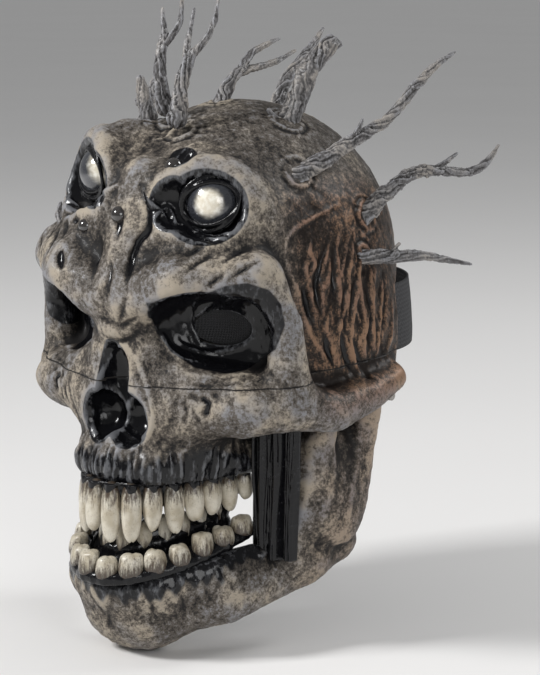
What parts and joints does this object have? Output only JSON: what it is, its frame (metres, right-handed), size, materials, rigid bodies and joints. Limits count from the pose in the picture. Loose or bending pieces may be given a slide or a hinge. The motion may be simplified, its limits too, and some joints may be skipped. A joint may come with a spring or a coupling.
{
  "type": "latex halloween mask",
  "caption": "Horned demon skull mask with raised upper eyes, hinged jaw, double lower tooth row and an elastic strap behind the open back.",
  "frame": {"origin": "middle of the wearer's head at ear level, where the mask sits on the head", "axes": "+Z toward the crown, the face looks to -Y, the wearer's left is +X"},
  "size_m": [0.2352, 0.2376, 0.3702],
  "materials": {
    "bone_latex": "drybrushed bone paint over dark latex, satin",
    "black_latex": "gloss black wash",
    "tooth_paint": "cream teeth in gloss black gum",
    "eye_resin": "pearly glossy eyeball",
    "branch_latex": "silver-grey drybrush over black bark",
    "black_elastic": "braided elastic webbing",
    "grey_foam": "soft open-cell foam",
    "screen_mesh": "black see-through mesh",
    "pin_steel": "plain steel"
  },
  "bodies": {
    "skull": {"back_strap": "black_elastic", "bead_eye_centre": "black_latex", "bead_eye_left": "black_latex", "bead_eye_right": "black_latex", "branch_brow_left": "branch_latex", "branch_brow_right": "branch_latex", "branch_brow_stub": "branch_latex", "branch_crown_front": "branch_latex", "branch_crown_left": "branch_latex", "branch_crown_right": "branch_latex", "branch_ear_left": "branch_latex", "branch_ear_right": "branch_latex", "branch_forehead_right": "branch_latex", "branch_low_left": "branch_latex", "branch_temple_left": "branch_latex", "branch_temple_right": "branch_latex", "brow_pad": "grey_foam", "cheek_web_left": "black_latex", "cheek_web_right": "black_latex", "crown_pad": "grey_foam", "jaw_pin_left": "pin_steel", "jaw_pin_right": "pin_steel", "skull_shell": "bone_latex", "upper_denture": "tooth_paint", "upper_eye_left": "eye_resin", "upper_eye_right": "eye_resin", "upper_jaw_shell": "bone_latex", "vision_screen_left": "screen_mesh", "vision_screen_right": "screen_mesh"},
    "jaw": {"inner_lower_denture": "tooth_paint", "jaw_shell": "bone_latex", "outer_lower_denture": "tooth_paint"}
  },
  "joints": [
    {"name": "jaw_hinge", "type": "hinge", "parent": "skull", "child": "jaw", "pos_m": [0, 0.014, -0.02], "axis": [1, 0, 0], "range_deg": [0, 12], "stiffness_Nm_per_rad": 1, "springref_deg": -20.05, "deforming": ["cheek_web_left", "cheek_web_right"]}
  ]
}
